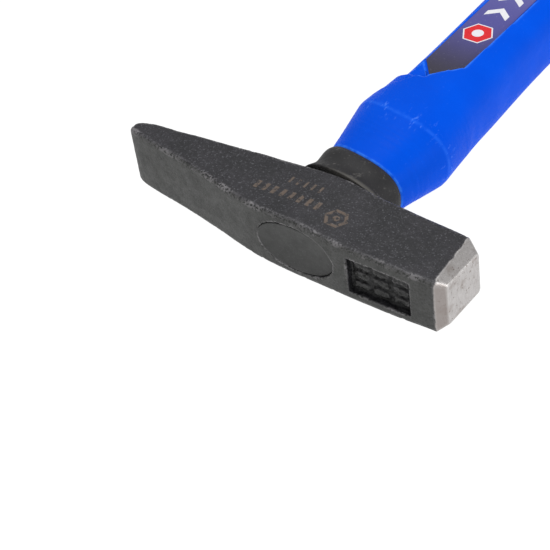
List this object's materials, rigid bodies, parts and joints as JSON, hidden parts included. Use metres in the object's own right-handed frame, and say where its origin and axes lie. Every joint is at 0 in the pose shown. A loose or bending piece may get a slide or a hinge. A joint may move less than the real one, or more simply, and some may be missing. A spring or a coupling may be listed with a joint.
{
  "type": "cross-peen engineer's hammer",
  "caption": "Cross-peen engineer's hammer: black forged head with a square ground face and a chisel peen, resin-bonded to a blue moulded handle with a soft grip.",
  "frame": {"origin": "middle of the underside of the hammer's bounding box as it lies on its side", "axes": "+X is the outward normal of the striking face, +Y runs along the handle from the head to the butt, +Z is the cheek side that faces up"},
  "size_m": [0.1194, 0.3108, 0.0293],
  "materials": {
    "forged_steel": "black lacquer over forged scale, striking face ground bare",
    "cast_resin": "cast black epoxy, smooth",
    "fibreglass": "pultruded glass and resin rod",
    "collar_rubber": "matte black, dusty",
    "blue_plastic": "satin moulded, fine grain",
    "grip_rubber": "matte black, textured",
    "label_film": "printed satin film"
  },
  "bodies": {
    "root": {"hammer_head": "forged_steel", "eye_resin": "cast_resin", "fibreglass_core": "fibreglass", "neck_collar": "collar_rubber", "handle_shell": "blue_plastic", "soft_grip": "grip_rubber", "label_front": "label_film", "label_back": "label_film"}
  },
  "joints": []
}
